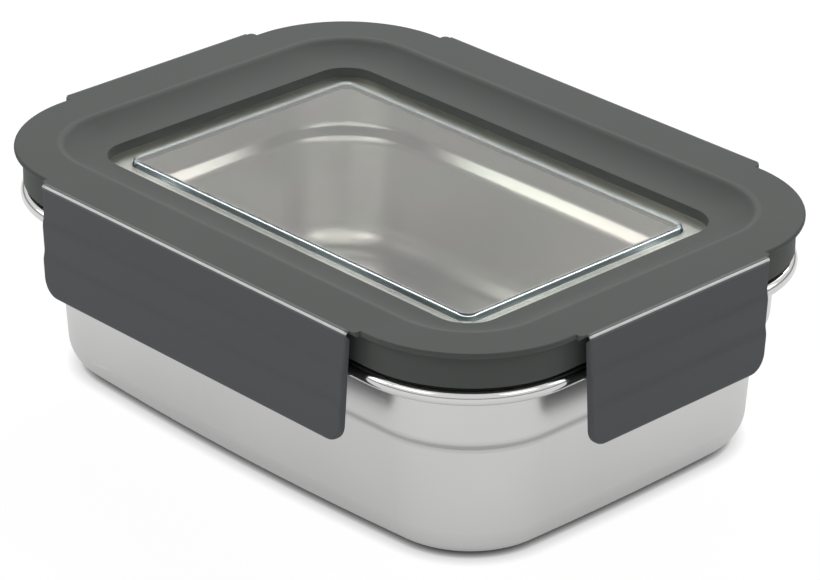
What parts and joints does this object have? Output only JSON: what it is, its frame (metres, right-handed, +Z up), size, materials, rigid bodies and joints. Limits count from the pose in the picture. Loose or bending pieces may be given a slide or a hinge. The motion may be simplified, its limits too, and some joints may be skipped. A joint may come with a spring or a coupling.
{
  "type": "lunch box",
  "caption": "Rectangular stainless steel lunch box with a grey plastic lid, a clear window and hinged latches that hook under the rolled rim.",
  "frame": {"origin": "centre of the tub's flat underside", "axes": "+Z up, +X along the longer side, -Y towards the long side seen in the picture"},
  "size_m": [0.2186, 0.1646, 0.071],
  "materials": {
    "steel": "satin walls with a polished rolled rim",
    "grey_plastic": "fine matte moulded",
    "clear_plastic": "clear polished",
    "silicone": "matte dark silicone",
    "hinge_plastic": "stress-whitened bend"
  },
  "bodies": {
    "tub": {"steel_tub": "steel"},
    "lid": {"lid_frame": "grey_plastic", "lid_window": "clear_plastic", "lid_seal": "silicone", "front_hinge_web": "hinge_plastic", "back_hinge_web": "hinge_plastic", "left_hinge_web": "hinge_plastic", "right_hinge_web": "hinge_plastic"},
    "front_latch": {"front_latch": "grey_plastic"},
    "back_latch": {"back_latch": "grey_plastic"},
    "left_latch": {"left_latch": "grey_plastic"},
    "right_latch": {"right_latch": "grey_plastic"}
  },
  "joints": [
    {"name": "lid_lift", "type": "slide", "parent": "tub", "child": "lid", "axis": [0, 0, 1], "range_m": [0, 0.09]},
    {"name": "front_latch_hinge", "type": "hinge", "parent": "lid", "child": "front_latch", "pos_m": [0, -0.0802, 0.07], "axis": [-1, 0, 0], "range_deg": [0, 120], "deforming": ["front_hinge_web"]},
    {"name": "back_latch_hinge", "type": "hinge", "parent": "lid", "child": "back_latch", "pos_m": [0, 0.0802, 0.07], "axis": [1, 0, 0], "range_deg": [0, 120], "deforming": ["back_hinge_web"]},
    {"name": "left_latch_hinge", "type": "hinge", "parent": "lid", "child": "left_latch", "pos_m": [-0.1072, 0, 0.07], "axis": [0, 1, 0], "range_deg": [0, 120], "deforming": ["left_hinge_web"]},
    {"name": "right_latch_hinge", "type": "hinge", "parent": "lid", "child": "right_latch", "pos_m": [0.1072, 0, 0.07], "axis": [0, -1, 0], "range_deg": [0, 120], "deforming": ["right_hinge_web"]}
  ]
}
